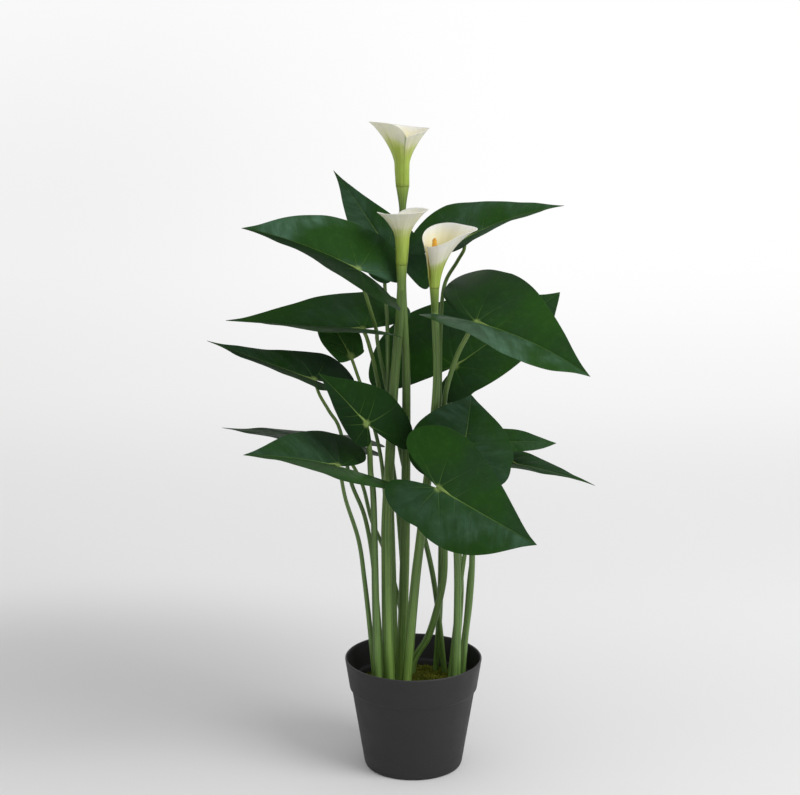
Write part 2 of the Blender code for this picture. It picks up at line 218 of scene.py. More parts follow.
def endTree(geometry, material):
    real = node("GeometryNodeRealizeInstances", {0: geometry})
    done = node("GeometryNodeSetMaterial", {"Geometry": real, "Material": material})
    link(done, addNode("NodeGroupOutput").inputs[0])
    return graph["tree"]


def addObject(name, mesh, material=None):
    made = bpy.data.objects.new(name, mesh)
    bpy.context.scene.collection.objects.link(made)
    if material is not None:
        mesh.materials.append(material)
    return made


def grow(name, mesh, tree, values):
    # runs the tree on the mesh and keeps the result as a plain mesh object
    made = addObject(name, mesh)
    modifier = made.modifiers.new(tree.name, "NODES")
    modifier.node_group = tree
    for item in tree.interface.items_tree:
        if item.item_type == "SOCKET" and item.in_out == "INPUT" and item.name in values:
            modifier[item.identifier] = values[item.name]
    bpy.context.view_layer.update()
    grown = made.evaluated_get(bpy.context.evaluated_depsgraph_get())
    result = bpy.data.meshes.new_from_object(grown)
    made.modifiers.clear()
    made.data = result
    result.name = name
    return made


def plainMesh(name, verts, edges=(), faces=()):
    mesh = bpy.data.meshes.new(name)
    mesh.from_pydata(verts, edges, faces)
    return mesh


def meshFrom(name, bm):
    # faces turned outwards
    bmesh.ops.recalc_face_normals(bm, faces=bm.faces)
    mesh = bpy.data.meshes.new(name)
    bm.to_mesh(mesh)
    bm.free()
    return mesh


def gridFaces(lines, points, start=0):
    # quads between neighbouring lines of points, and their border as a loop from the first line
    def at(line, point):
        return start + line * points + point

    faces = [(at(i, j), at(i + 1, j), at(i + 1, j + 1), at(i, j + 1))
             for i in range(lines - 1) for j in range(points - 1)]
    border = [at(0, j) for j in range(points)] + [at(i, points - 1) for i in range(1, lines)]
    border += [at(lines - 1, j) for j in range(points - 2, -1, -1)]
    border += [at(i, 0) for i in range(lines - 2, 0, -1)]
    return faces, border


def sheetSolid(name, front, back, faces, border, creased=False):
    # the same faces on a front and a back skin, closed by a strip along the border
    count = len(front)
    turned = [tuple(index + count for index in face[::-1]) for face in faces]
    strip = [(first, second, second + count, first + count)
             for first, second in zip(border, border[1:] + border[:1])]
    mesh = plainMesh(name, np.concatenate([front, back]).tolist(), [], faces + turned + strip)
    bm = bmesh.new()
    bm.from_mesh(mesh)
    bm.verts.index_update()
    bmesh.ops.recalc_face_normals(bm, faces=bm.faces)
    for face in bm.faces:
        face.smooth = True
    for face in list(bm.faces)[-len(strip):] if creased else ():
        for edge in face.edges:
            first, second = edge.verts
            edge.smooth = (first.index < count) != (second.index < count)
    bm.to_mesh(mesh)
    bm.free()
    return mesh


def shadeSmooth(mesh, sharpOver=None):
    # sharpOver: degrees
    mesh.shade_smooth()
    if sharpOver:
        mesh.set_sharp_from_angle(angle=math.radians(sharpOver))


def store(mesh, key, values, kind="FLOAT", field="value"):
    made = mesh.attributes.new(key, kind, "POINT")
    made.data.foreach_set(field, np.asarray(values, dtype=np.float32).reshape(-1))


def smoothLine(points, spacing):
    # Catmull-Rom through the points, with a point about every spacing
    line = []
    for index in range(len(points) - 1):
        before = points[max(index - 1, 0)]
        start, end = points[index], points[index + 1]
        after = points[min(index + 2, len(points) - 1)]
        pieces = max(1, round((end - start).length / spacing))
        for piece in range(pieces):
            s = piece / pieces
            line.append(0.5 * (2 * start + (end - before) * s
                               + (2 * before - 5 * start + 4 * end - after) * s ** 2
                               + (3 * start - before - 3 * end + after) * s ** 3))
    line.append(points[-1].copy())
    return line


def sheetNormals(grid):
    normal = np.cross(np.gradient(grid, axis=1), np.gradient(grid, axis=0))
    size = np.linalg.norm(normal, axis=-1, keepdims=True)
    return normal / np.maximum(size, 1e-12)


def facing(normal, way):
    # the normals, turned so that they look the given way on the whole
    return normal * np.sign(np.sum(normal * way, -1).mean())


def keep(piece, slot, *nodes):
    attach(piece, "root")
    if nodes:
        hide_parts(*nodes)


view = {"place": (-0.0147, -1.93, 0.838), "down": 12.4, "lens": 83.6, "sensor": 36, "farthest": 50}


def makeCamera():
    camera = bpy.data.cameras.new("camera")
    camera.lens = view["lens"]
    camera.sensor_width = view["sensor"]
    camera.clip_end = view["farthest"]
    made = addObject("camera", camera)
    made.location = view["place"]
    made.rotation_euler = (math.radians(90 - view["down"]), 0, 0)
    bpy.context.scene.camera = made


light = {"keyPlace": (1.75, -1.2, 2.05), "keyAim": (0, 0, 0.3), "keySize": 1.7, "keyPower": 40,
         "world": 0.66}


def makeLight():
    lamp = bpy.data.lights.new("key", "AREA")
    lamp.shape = "DISK"
    lamp.size = light["keySize"]
    lamp.energy = light["keyPower"]
    made = addObject("key", lamp)
    made.location = light["keyPlace"]
    aim = Vector(light["keyAim"]) - Vector(light["keyPlace"])
    made.rotation_euler = aim.to_track_quat("-Z", "Y").to_euler()
    world = bpy.data.worlds.new("studio")
    world.use_nodes = True
    background = world.node_tree.nodes["Background"].inputs
    background["Color"].default_value = (1, 1, 1, 1)
    background["Strength"].default_value = light["world"]
    bpy.context.scene.world = world
    bpy.context.scene.view_settings.view_transform = "Standard"


# a flat floor, a quarter round and a wall; greys go from near to far, wallGreys from left to right, greyer
# to the left as painted shade
floor = {
    "front": -3.0, "back": 3.5, "halfWidth": 5.0, "curve": 1.5, "curveSteps": 12, "height": 5.0,
    "greys": (0.82, 0.90), "patchPlace": (-0.38, 0.24), "patchReach": (0.55, 0.42), "patchDepth": 0.16,
    "wallGreysNear": (0.80, 0.89), "wallGreysFar": (0.88, 1.0),
}


def floorPaper():
    material, shader = newMaterial("floorPaper", 0.9, 0.1)
    place = axesOf(objectPlace())
    paper = blend(remap(place["Y"], 0.05, 0.6), *map(grey, floor["greys"]))
    # a soft darker patch where the plant shades the floor
    off = [calc("DIVIDE", minus(place[axis], middle), reach)
           for axis, middle, reach in zip("XY", floor["patchPlace"], floor["patchReach"])]
    away = addNode("ShaderNodeVectorMath", {0: vectorOf(*off)}, operation="LENGTH")
    patch = remap(away.outputs["Value"], 1.1, 0.35, 0.0, floor["patchDepth"])
    setColour(shader, blend(patch, paper, grey(0.0)))
    bumpInto(shader, noiseOf(objectPlace(), 300), 0.0001, 0.3)
    # far off, the sweep glows as a white wall to camera, glossy and transmission rays; painted shade makes
    # it a little greyer to the left, painted light paler towards the top
    side = remap(place["X"], -1.2, 0.5)
    tint = layered(
        blend(side, *map(grey, floor["wallGreysNear"])),
        (remap(place["Y"], 1.0, 4.0), blend(side, *map(grey, floor["wallGreysFar"]))),
        (remap(place["Z"], 0.1, 0.95, 0.0, 0.6), grey(1.0)))
    glow = node("ShaderNodeEmission", {"Color": tint, "Strength": 1.0})
    rays = addNode("ShaderNodeLightPath").outputs
    seen = plus(rays["Is Camera Ray"], rays["Is Glossy Ray"], clamp=True)
    seen = plus(seen, rays["Is Transmission Ray"], clamp=True)
    share = times(seen, remap(place["Y"], 0.3, 2.0))
    mixed = node("ShaderNodeMixShader", {0: share, 1: shader.outputs[0], 2: glow})
    link(mixed, graph["tree"].nodes["Material Output"].inputs["Surface"])
    return material


def makeFloor():
    profile = [(floor["front"], 0.0), (floor["back"], 0.0)]
    for step in range(1, floor["curveSteps"] + 1):
        angle = math.pi / 2 * step / floor["curveSteps"]
        profile.append((floor["back"] + floor["curve"] * math.sin(angle),
                        floor["curve"] * (1 - math.cos(angle))))
    profile.append((floor["back"] + floor["curve"], floor["height"]))
    verts = [(side * floor["halfWidth"], y, z) for y, z in profile for side in (-1, 1)]
    faces = [(2 * i, 2 * i + 1, 2 * i + 3, 2 * i + 2) for i in range(len(profile) - 1)]
    mesh = plainMesh("floor", verts, [], faces)
    mesh.shade_smooth()
    addObject("floor", mesh, floorPaper())


makeCamera()
makeLight()
makeFloor()
print("camera, light and floor made")

# in millimetres; rim, collar, body and base are radii
pot = {
    "height": 123, "rim": 75, "collar": 70, "body": 67.4, "base": 53.4, "collarBottom": 89, "wall": 2.2,
    "floor": 4, "ledge": 95, "steps": 160, "sharpOver": 40, "weld": 0.02, "lipDepth": 1.5,
    "dark": (0.017, 0.017, 0.0175), "light": (0.026, 0.026, 0.0265), "turned": (0.033, 0.033, 0.034),
    "lip": (0.055, 0.055, 0.056), "dust": (0.14, 0.12, 0.09),
}


def potMaterial():
    material, shader = newMaterial("potPlastic", 0.5, 0.3)
    place = objectPlace()
    height = axesOf(place)["Z"]
    cloud = noiseOf(place, 28, 4)
    grain = noiseOf(place, 1800, 2)
    turning = noiseOf(node("ShaderNodeMapping", {"Vector": place, "Scale": (60, 60, 900)}), 1, 3)
    speck = remap(noiseOf(place, 420, 2), 0.66, 0.74)
    dust = times(speck, remap(height, 0.03, 0.0))
    # the top of the lip turns paler: a painted highlight along the rim
    lip = remap(height, (pot["height"] - pot["lipDepth"]) * mm, pot["height"] * mm, 0.0, 0.5)
    colour = layered(
        blend(cloud, pot["dark"], pot["light"]),
        (times(turning, 0.35), pot["turned"]), (lip, pot["lip"]), (times(dust, 0.3), pot["dust"]))
    setColour(shader, colour, plus(remap(cloud, 0.3, 0.7, 0.46, 0.6), times(grain, 0.08)))
    bumpInto(shader, plus(grain, times(turning, 0.8)), 0.00012, 0.6)
    return material


def potProfile():
    # from the axis under the base, up the outside, over the lip and down inside to the axis
    # each row: radius, height, then steps (out, up) from there
    height, rim, collar, body, base, low, wall, ledge = (pot[key] for key in (
        "height", "rim", "collar", "body", "base", "collarBottom", "wall", "ledge"))
    rows = (
        (base, 0, (-3.2, 0), (-1.6, 0.2), (-0.5, 1.0), (0.2, 2.4), (0.9, 5.0)),
        (body, low, (-0.1, -3.2), (0.15, -2.0), (0.9, -1.0)),
        (collar, low, (-0.9, -0.3), (-0.2, 0.4), (0.1, 1.6)),
        (rim, height, (-0.45, -3.2), (-0.12, -1.6), (-0.15, -0.7), (-0.55, -0.12), (-1.1, 0), (-1.7, -0.15)),
        (rim - wall, height, (0, -0.9), (-0.5, -3)),
        (collar - wall, ledge, (1.4, 0.5), (0.6, -0.1)),
        (body - wall, ledge, (0.3, -0.6), (-0.3, -1.6), (-0.5, -4)),
        (base - wall, pot["floor"], (0, 0)))
    steps = [(radius + out, level + up) for radius, level, *row in rows for out, up in row]
    return [(0, 0), *steps, (0, pot["floor"])]


def makePot():
    bm = bmesh.new()
    verts = [bm.verts.new((radius * mm, 0, height * mm)) for radius, height in potProfile()]
    for first, second in zip(verts, verts[1:]):
        bm.edges.new((first, second))
    bmesh.ops.spin(bm, geom=bm.verts[:] + bm.edges[:], cent=(0, 0, 0), axis=(0, 0, 1),
                   angle=math.tau, steps=pot["steps"], use_duplicate=False)
    bmesh.ops.remove_doubles(bm, verts=bm.verts, dist=pot["weld"] * mm)
    mesh = meshFrom("potShell", bm)
    shadeSmooth(mesh, pot["sharpOver"])
    keep(addObject("potShell", mesh, potMaterial()), "pot", "pot")


makePot()
print("pot made")

moss = {
    "radius": 64.4 * mm, "top": 91.0 * mm, "edge": 88.6 * mm, "bottom": 82.2 * mm, "lump": 1.1 * mm,
    "rings": 40, "columns": 120, "tufts": 3400, "tuftSize": 1.5 * mm, "seed": 5,
    "dark": (0.065, 0.080, 0.006), "light": (0.150, 0.165, 0.014), "dry": (0.23, 0.22, 0.04),
}
soil = {"dark": (0.012, 0.009, 0.006), "light": (0.055, 0.040, 0.026)}


def mossMaterial():
    material, shader = newMaterial("mossGreen", 0.95, 0.15)
    place = objectPlace()
    fine = noiseOf(place, 900, 3)
    colour = blend(remap(noiseOf(place, 70, 4), 0.35, 0.65), moss["dark"], moss["light"])
    setColour(shader, blend(remap(fine, 0.55, 0.75), colour, moss["dry"]))
    bumpInto(shader, fine, 0.0008)
    return material


def soilMaterial():
    material, shader = newMaterial("soilBrown", 0.95, 0.2)
    place = objectPlace()
    crumbs = addNode("ShaderNodeTexVoronoi", {"Vector": place, "Scale": 350}).outputs["Distance"]
    fine = noiseOf(place, 700, 4)
    setColour(shader, blend(fine, soil["dark"], soil["light"]))
    bumpInto(shader, plus(crumbs, fine), 0.0015)
    return material


def tuftTree():
    # small leaning cones, scattered over every face that looks up
    given = newTree("mossTufts", {
        "Tufts per area": ("Float", moss["tufts"] / (math.pi * moss["radius"] ** 2)),
        "Tuft size": ("Float", moss["tuftSize"]), "Seed": ("Int", moss["seed"]),
        "Material": ("Material", None)})
    upwards = axesOf(node("GeometryNodeInputNormal"))["Z"]
    top = node("FunctionNodeCompare", {0: upwards, 1: 0.3}, data_type="FLOAT", operation="GREATER_THAN")
    spots = node("GeometryNodeDistributePointsOnFaces", {
        "Mesh": given["Geometry"], "Selection": top, "Density": given["Tufts per area"],
        "Seed": given["Seed"]})
    tuft = node("GeometryNodeMeshCone", {
        "Vertices": 5, "Side Segments": 2, "Radius Top": 0.0, "Radius Bottom": 0.35, "Depth": 2.2})
    size = randomSize(0.5, 1.2, given["Seed"])
    lean = node("FunctionNodeRandomValue", {
        0: (-0.9, -0.9, 0.0), 1: (0.9, 0.9, 6.28), "Seed": given["Seed"]}, data_type="FLOAT_VECTOR")
    placed = node("GeometryNodeInstanceOnPoints", {
        "Points": spots, "Instance": tuft, "Rotation": lean, "Scale": times(size, given["Tuft size"])})
    return endTree(joinParts(placed, given["Geometry"]), given["Material"])


def makeMoss():
    # a shallow lumpy dome with a flat underside
    bm = bmesh.new()
    rows = []
    for ring in range(moss["rings"] + 1):
        share = ring / moss["rings"]
        row = []
        for column in range(moss["columns"]):
            angle = math.tau * column / moss["columns"]
            radius = moss["radius"] * share
            spot = Vector((radius * math.cos(angle), radius * math.sin(angle), 0))
            lump = noise.fractal(spot * 90, 0.9, 2.0, 4) * moss["lump"]
            height = moss["top"] + (moss["edge"] - moss["top"]) * share ** 2 + lump * (1 - share ** 8)
            row.append((spot.x, spot.y, height))
        rows.append(row)
    centre = bm.verts.new(rows[0][0])
    grid = [[bm.verts.new(spot) for spot in row] for row in rows[1:]]
    grid.append([bm.verts.new((spot[0], spot[1], moss["bottom"])) for spot in rows[-1]])
    under = bm.verts.new((0, 0, moss["bottom"]))
    for column in range(moss["columns"]):
        after = (column + 1) % moss["columns"]
        bm.faces.new((centre, grid[0][column], grid[0][after]))
        bm.faces.new((under, grid[-1][after], grid[-1][column]))
        for inner, outer in zip(grid, grid[1:]):
            bm.faces.new((inner[column], outer[column], outer[after], inner[after]))
    piece = grow("mossBed", meshFrom("mossBed", bm), tuftTree(), {"Material": mossMaterial()})
    piece.data.shade_smooth()
    keep(piece, "moss", "moss")


def paintSoil():
    # the soil keeps the mesh that it comes with
    for piece in bpy.data.objects:
        if piece.name == "soil":
            piece.data.materials.clear()
            piece.data.materials.append(soilMaterial())


makeMoss()
paintSoil()
print("moss and soil made")

# tip: length at a petiole's end that runs up the blade and thins to tipWidth; foot: where all stalks start;
# ripeAndLit: how pale and yellow a petiole turns at its end, from the share ripeAndLitFrom of its length,
# partly its own colour and partly painted light where the blade shades it; sink, tipSink: how far its line
# lies under the blade, at the joint in its radii and at its end
stalk = {
    "foot": 70.3 * mm, "tip": 14 * mm, "tipWidth": 0.3, "spacing": 5 * mm, "sides": 20, "grooves": 11,
    "grooveDepth": 0.035, "sharpOver": 60, "ripeAndLit": 0.35, "ripeAndLitFrom": 0.7, "sink": 0.7, "tipSink": 0.5 * mm,
    "tones": (0.2, 0.8),
    "ripeAndLitDark": (0.24, 0.36, 0.045), "ripeAndLitLight": (0.42, 0.54, 0.11), "footTint": (1.5, 1.5, 1.25),
}
petioleGreens = ((0.054, 0.108, 0.026), (0.118, 0.210, 0.054), (0.260, 0.400, 0.125))


def stalkMaterial(name, dark, mid, pale):
    # streaks run along the stalk; "around" is its cross-section, "along" runs foot to top
    material, shader = newMaterial(name, 0.42, 0.35)
    along = attribute("along")
    ring = scaleVector(attribute("around", "Vector"), 2.6)
    spot = addVectors(ring, vectorOf(z=times(along, 1.6)))
    spot = addVectors(spot, vectorOf(x=times(attribute("tone"), 9.0)))
    broad = noiseOf(spot, 1.3, 3)
    fine = noiseOf(spot, 5.0, 4, 0.65)
    cloud = noiseOf(objectPlace(), 22, 3)
    colour = layered(dark, (remap(broad, 0.36, 0.62), mid), (remap(fine, 0.5, 0.72, 0.0, 0.65), pale),
                     (remap(cloud, 0.55, 0.75, 0.0, 0.4), dark))
    # ripeAndLitColour: the paler yellow-green of the stalks' tops, partly their own colour and partly
    # painted light on petioles that the blades shade
    ripeAndLitColour = blend(fine, stalk["ripeAndLitDark"], stalk["ripeAndLitLight"])
    # footTint makes the lowest part paler and yellower: painted light where the stalks come out of the
    # leaves' shade, and partly their own paler base
    colour = layered(colour, (remap(along, 0.3, 0.0), tinted(colour, stalk["footTint"])),
                     (attribute("ripeAndLit"), ripeAndLitColour))
    setColour(shader, colour, remap(fine, 0.3, 0.7, 0.36, 0.5))
    bumpInto(shader, fine, 0.0005, 0.5)
    return material


def stalkTree():
    # sweeps a grooved round section along a line, thinning from foot to top
    given = newTree("stalk", {
        "Foot radius": ("Float", 3 * mm), "Top radius": ("Float", 2 * mm), "Tip share": ("Float", 0.01),
        "Tip width": ("Float", 1.0), "Sides": ("Int", stalk["sides"]),
        "Grooves": ("Float", stalk["grooves"]), "Groove depth": ("Float", stalk["grooveDepth"]),
        "Material": ("Material", None)})
    line = node("GeometryNodeMeshToCurve", {"Mesh": given["Geometry"]})
    share = addNode("GeometryNodeSplineParameter").outputs["Factor"]
    width = remap(share, 0.0, 1.0, given["Foot radius"], given["Top radius"], "LINEAR")
    tipStart = minus(1.0, given["Tip share"])
    thinning = remap(share, tipStart, 1.0, 1.0, given["Tip width"], "LINEAR")
    circle = node("GeometryNodeCurvePrimitiveCircle", {"Resolution": given["Sides"], "Radius": 1.0})
    place = node("GeometryNodeInputPosition")
    split = axesOf(place)
    turn = calc("ARCTAN2", split["Y"], split["X"])
    wave = calc("COSINE", times(turn, given["Grooves"]))
    grooved = scaleVector(place, plus(times(wave, given["Groove depth"]), 1.0))
    section = node("GeometryNodeSetPosition", {
        "Geometry": marked(circle, "around", place, "FLOAT_VECTOR"), "Position": grooved})
    swept = node("GeometryNodeCurveToMesh", {
        "Curve": marked(line, "along", share), "Profile Curve": section,
        "Scale": times(width, thinning), "Fill Caps": True})
    return endTree(swept, given["Material"])


def stalkLine(points):
    foot = Vector((points[0][0] * mm, points[0][1] * mm, stalk["foot"]))
    return [foot] + [Vector(point) * mm for point in points[1:]]


def makeStalk(name, points, thick, tip, material, tree, tone, ripeAndLit, ripeAndLitFrom):
    # thick: radius at foot and top in millimetres; the last part, as long as tip, thins out
    line = smoothLine(points, stalk["spacing"])
    length = sum((after - before).length for before, after in zip(line, line[1:]))
    edges = [(index, index + 1) for index in range(len(line) - 1)]
    piece = grow(name, plainMesh(name, line, edges), tree, {
        "Foot radius": thick[0] * mm, "Top radius": thick[1] * mm,
        "Tip share": max(tip / length, 0.0001), "Tip width": stalk["tipWidth"] if tip else 1.0,
        "Material": material})
    mesh = piece.data
    shadeSmooth(mesh, stalk["sharpOver"])
    along = np.empty(len(mesh.vertices), dtype=np.float32)
    mesh.attributes["along"].data.foreach_get("value", along)
    store(mesh, "tone", np.full(len(along), tone))
    store(mesh, "ripeAndLit", ripeAndLit * np.clip((along - ripeAndLitFrom) / (1 - ripeAndLitFrom), 0, 1) ** 2)
    return piece


# In millimetres, as the frame has them. joint: where stalk and blade meet; tip: the blade's point; face: the
# way the upper side looks. A pair gives the left and the right half seen from above, tip ahead. rise:
# degrees a half folds up; lobe: length behind the joint; full: widening to the tip; blunt: widening just
# before it; plump: widening to the lobe's end; closed: 1 where the lobes meet; arch: bow of the midrib;
# drop: bend of the lobes; twist: degrees at the tip; stalk: route from foot to joint; thick: its radii;
# tone: dark to bright, mostly painted shade on halves in shade and painted light on lit ones, partly the
# leaf's own green; paintedSheen: how strong the pale painted sheen is.
leaves = {
    "top_left": dict(
        joint=(-28, 45, 566), tip=(-86, 62, 649), face=(0.2, -0.9, 0.4),
        width=(0.75, 0.74), rise=12, lobe=(0.7, 1.35), full=(0, -0.55),
        stalk=((-19, 0), (-21, 2, 187), (-24, 4, 299), (-27, 1, 411), (-28, 4, 486), (-31, 42, 528),
               (-31, 56, 547)),
        arch=0.04, thick=(3.2, 1.8), tone=(0.42, 0.46), paintedSheen=0.5),
    "upper_left": dict(
        joint=(-58, -28, 555), tip=(-177, -35, 599), face=(0.2, -0.5, 0.9),
        width=(0.95, 0.93), rise=(24, 25), lobe=(1, 0.95), full=(0, 0.4),
        stalk=((37, 38), (26, 34, 176), (14, 28, 242), (-7, 22, 317), (-20, 19, 379), (-28, 14, 417),
               (-38, 5.6, 469), (-39.6, 4.2, 485), (-45, -8, 507), (-52, -22, 533)),
        arch=0.05, drop=0.5, thick=(3.3, 1.8), tone=(0.1, 0.42), paintedSheen=(0, 1)),
    "mid_left": dict(
        joint=(-54, 3, 487), tip=(-199, 5, 496), face=(0, -0.27, 0.96),
        width=(0.6, 0.95), rise=22, lobe=(0.7, 0.8), full=(0.3, -0.2),
        stalk=((-15, 32), (-11, 30, 177), (-14, 27, 248), (-22, 24, 328), (-39, 15, 430), (-46, 9, 463)),
        thick=(3.3, 2), tone=(0.4, 0.6), paintedSheen=(0, 0.35)),
    "small_left": dict(
        joint=(-67, 12, 456), tip=(-103, 59, 503), face=(0.1, -0.8, 0.6),
        width=0.46, rise=8, lobe=0.12, full=2.2, closed=1,
        stalk=((-24, 24), (-27, 22, 180), (-29, 18, 262), (-35, 10, 343), (-49, 9, 403), (-59, 13, 432)),
        arch=0.05, thick=(3.2, 1.6), tone=1),
    "low_left": dict(
        joint=(-106, -5, 434), tip=(-217, -15, 478), face=(0, -0.25, 1),
        width=(0.36, 0.8), rise=(8, 22), lobe=(0.4, 0.9), full=(0.3, -0.6),
        stalk=((-32, 5), (-42, 7, 208), (-52, 8, 276), (-68, 9, 320), (-79, 8, 376), (-90, 5, 397),
               (-100, 0, 416)),
        thick=(3.2, 1.6), tone=(0.2, 0.26), paintedSheen=(0, 0.15)),
    "centre_front": dict(
        joint=(-50, -42, 395), tip=(-99, -56, 452), face=(0.15, -0.9, 0.4),
        width=(0.7, 1.2), rise=10, lobe=(0.6, 1.9), full=(0.2, 0),
        stalk=((-38, -30), (-41, -26, 196), (-43, -20, 306), (-46, -19, 336), (-47, -26, 363)),
        arch=0.05, drop=0.1, thick=(4.8, 2.6), tone=(0.05, 0.18), paintedSheen=(0, 0.12)),
    "back_left": dict(
        joint=(-86, 62, 352), tip=(-212, 75, 363), face=(0, -0.03, 1),
        width=0.6, rise=(0, -1),
        stalk=((-1, 48), (-10, 47, 136), (-19, 46, 184), (-32, 46, 230), (-46, 48, 264),
               (-56, 52, 303), (-70, 57, 330)),
        thick=(3, 1.8), tone=0.15),
    "bottom_left": dict(
        joint=(-79, -42, 349), tip=(-174, -100, 376), face=(0, -0.4, 0.9),
        width=(0.75, 0.95), rise=(12, 22), lobe=(1.35, 0.9),
        stalk=((-40, -12), (-46, -13, 146), (-53, -16, 216), (-59, -21, 262), (-72, -34, 310)),
        arch=0.03, drop=0, thick=(3.2, 1.8), tone=(0.8, 0.38), paintedSheen=(0, 0.28)),
    "mid_right": dict(
        joint=(64, -35, 501), tip=(179, -80, 453), face=(0.3, -0.6, 0.8),
        width=(1.4, 0.8), rise=(15, 30), lobe=(1.1, 1), full=(-0.35, 1.6), plump=(2.6, 0),
        stalk=((-4, 34), (1, 33, 106), (16, 29, 134), (26, 25, 168), (33, 21, 204), (34, 16, 240),
               (32, 6, 299), (31, 2, 356), (33, 3, 412), (43, -12, 455), (54, -27, 483)),
        arch=0.06, twist=20, thick=(4.3, 2.4), tone=(0.5, 0.45), paintedSheen=(0.05, 0.85)),
    "top_right": dict(
        joint=(55, 18, 582), tip=(160, 45, 613), face=(-0.2, -0.4, 0.9),
        width=(1.16, 0.48), rise=(17, 22), lobe=(1.2, 0.6), full=(-0.45, 0),
        stalk=((24, 44), (30, 42, 173), (30, 30, 292), (28, 14, 375), (28, 16, 424), (29, 36, 480),
               (33, 53, 525), (46, 39, 553), (53, 21, 569)),
        arch=0.05, thick=(3.6, 1.8), tone=(0.43, 0.42), paintedSheen=(0.5, 0.35)),
    "centre_back": dict(
        joint=(45, 45, 438), tip=(160, 75, 515), face=(-0.2, -0.9, 0.5),
        width=(1.3, 0.58), rise=5, lobe=(1.4, 0.6), full=(0, 1.1), blunt=(0, 3),
        stalk=((43, 26), (51, 25, 156), (52, 26, 213), (43, 32, 292), (36, 38, 369), (41, 43, 413)),
        thick=(3.6, 2), tone=(0.65, 0.6), paintedSheen=0.1),
    "bottom_front": dict(
        joint=(25, -67, 332), tip=(127, -88, 277), face=(0.1, -1, 0.12),
        width=(1.15, 0.88), rise=5, lobe=(1.1, 1), full=(-0.15, 1.25),
        stalk=((45, -28), (47, -27, 151), (47, -30, 220), (44, -40, 268), (35, -56, 305)),
        arch=0.03, drop=0.1, thick=(5.2, 2.6), tone=(0.5, 0.36), paintedSheen=(0.08, 0.55)),
    "bottom_back": dict(
        joint=(51, -34, 359), tip=(61, 0, 417), face=(0.32, -1, 0.46),
        width=(1.9, 1.85), rise=8, full=(0.6, 0.5),
        stalk=((51, -4), (56, -4, 143), (61, -6, 190), (63, -12, 243), (59, -24, 307)),
        arch=0.05, thick=(4.2, 2.4), tone=(0.25, 0.35), paintedSheen=(0.5, 0.35)),
    "small_right": dict(
        joint=(81, 25, 357), tip=(152, -5, 365), face=(0.1, -0.6, 0.8),
        width=0.55, rise=10, lobe=0.6, full=0.3, blunt=(0, 5),
        stalk=((38, 4), (47, 8, 162), (55, 12, 229), (66, 20, 295)),
        arch=0.04, thick=(3, 1.8), tone=1, paintedSheen=0.2),
    "bottom_right": dict(
        joint=(98, 12, 340), tip=(194, -8, 319), face=(0, -0.2, 1),
        width=(0.6, 0.44), rise=10, lobe=0.4, full=(-0.2, -0.4),
        stalk=((51, 14), (58, 14, 160), (64, 14, 229), (79, 13, 291)),
        arch=0.03, thick=(3, 1.8), tone=0.4, paintedSheen=0.1),
}

usualLeaf = {"lobe": 1, "full": 0, "plump": 0, "blunt": 0, "closed": 0, "arch": 0, "drop": 0.3, "twist": 0,
             "paintedSheen": 0}

# foldEase: how far a folded half flattens towards its edge; lateralStart, lobeVeins, sweep, sweepCurve:
# spacing and lean of the side veins; quilt, wave: relief between the veins and along the edge; ripples:
# (waves along the edge, share), calmed by the slit and by the tip; slit: half the gap between the lobes, as
# (lengths behind the joint), (half widths); widest: the half width where closing the slit fades out
blade = {
    "rings": 44, "halfColumns": 76, "ringBias": 0.9, "thick": 0.8 * mm, "edgeThick": 0.35 * mm,
    "foldEase": 0.2, "lateralStart": 0.17, "lobeVeins": 46.0, "sweep": 0.55, "sweepCurve": 0.5,
    "quilt": 0.5 * mm, "quiltShape": 0.8, "quiltFromRib": 6, "quiltFullGap": 10,
    "wave": 1.1 * mm, "waveLength": 130 * mm, "ripples": ((4, 1), (9, 0.45), (17, 0.12)),
    "calmSlit": 24, "calmTip": 14,
    "ribDepth": 0.5 * mm, "ribHeight": 0.9 * mm, "ribWidth": 1.6 * mm, "ribFade": 0.75, "seed": 11,
    "slit": ((0, 0.14, 0.28, 0.39, 0.42), (0, 0.035, 0.09, 0.16, 0.25)), "widest": 0.45,
}

# colours of the upper side unless named under; paintedSheen: the pale painted sheen; deep and bright are
# tints for painted shade and painted light, paler is a tint
green = {
    "dark": (0.0090, 0.0300, 0.0090), "light": (0.0112, 0.0470, 0.0070), "gloss": (0.60, 1.0, 0.75),
    "deep": (0.55, 0.45, 0.60), "bright": (2.70, 2.20, 1.90), "paler": (1.30, 1.22, 1.25),
    "paintedSheen": (0.072, 0.150, 0.092), "thinVein": (0.04, 0.09, 0.03), "sideVein": (0.13, 0.24, 0.045),
    "midrib": (0.19, 0.31, 0.075), "joint": (0.33, 0.45, 0.13), "edge": (0.05, 0.10, 0.035),
    "underDark": (0.014, 0.044, 0.012), "underLight": (0.024, 0.066, 0.018),
    "underVein": (0.06, 0.11, 0.045), "underRib": (0.13, 0.22, 0.07),
}

# half a blade's outline, tip first, in blade lengths along and across from the joint
halfOutline = (
    (1.00, 0.00), (0.90, 0.04), (0.80, 0.095), (0.66, 0.18), (0.50, 0.27), (0.30, 0.365), (0.10, 0.43),
    (-0.10, 0.45), (-0.25, 0.42), (-0.37, 0.34), (-0.42, 0.25), (-0.39, 0.16), (-0.28, 0.09), (-0.14, 0.035),
)


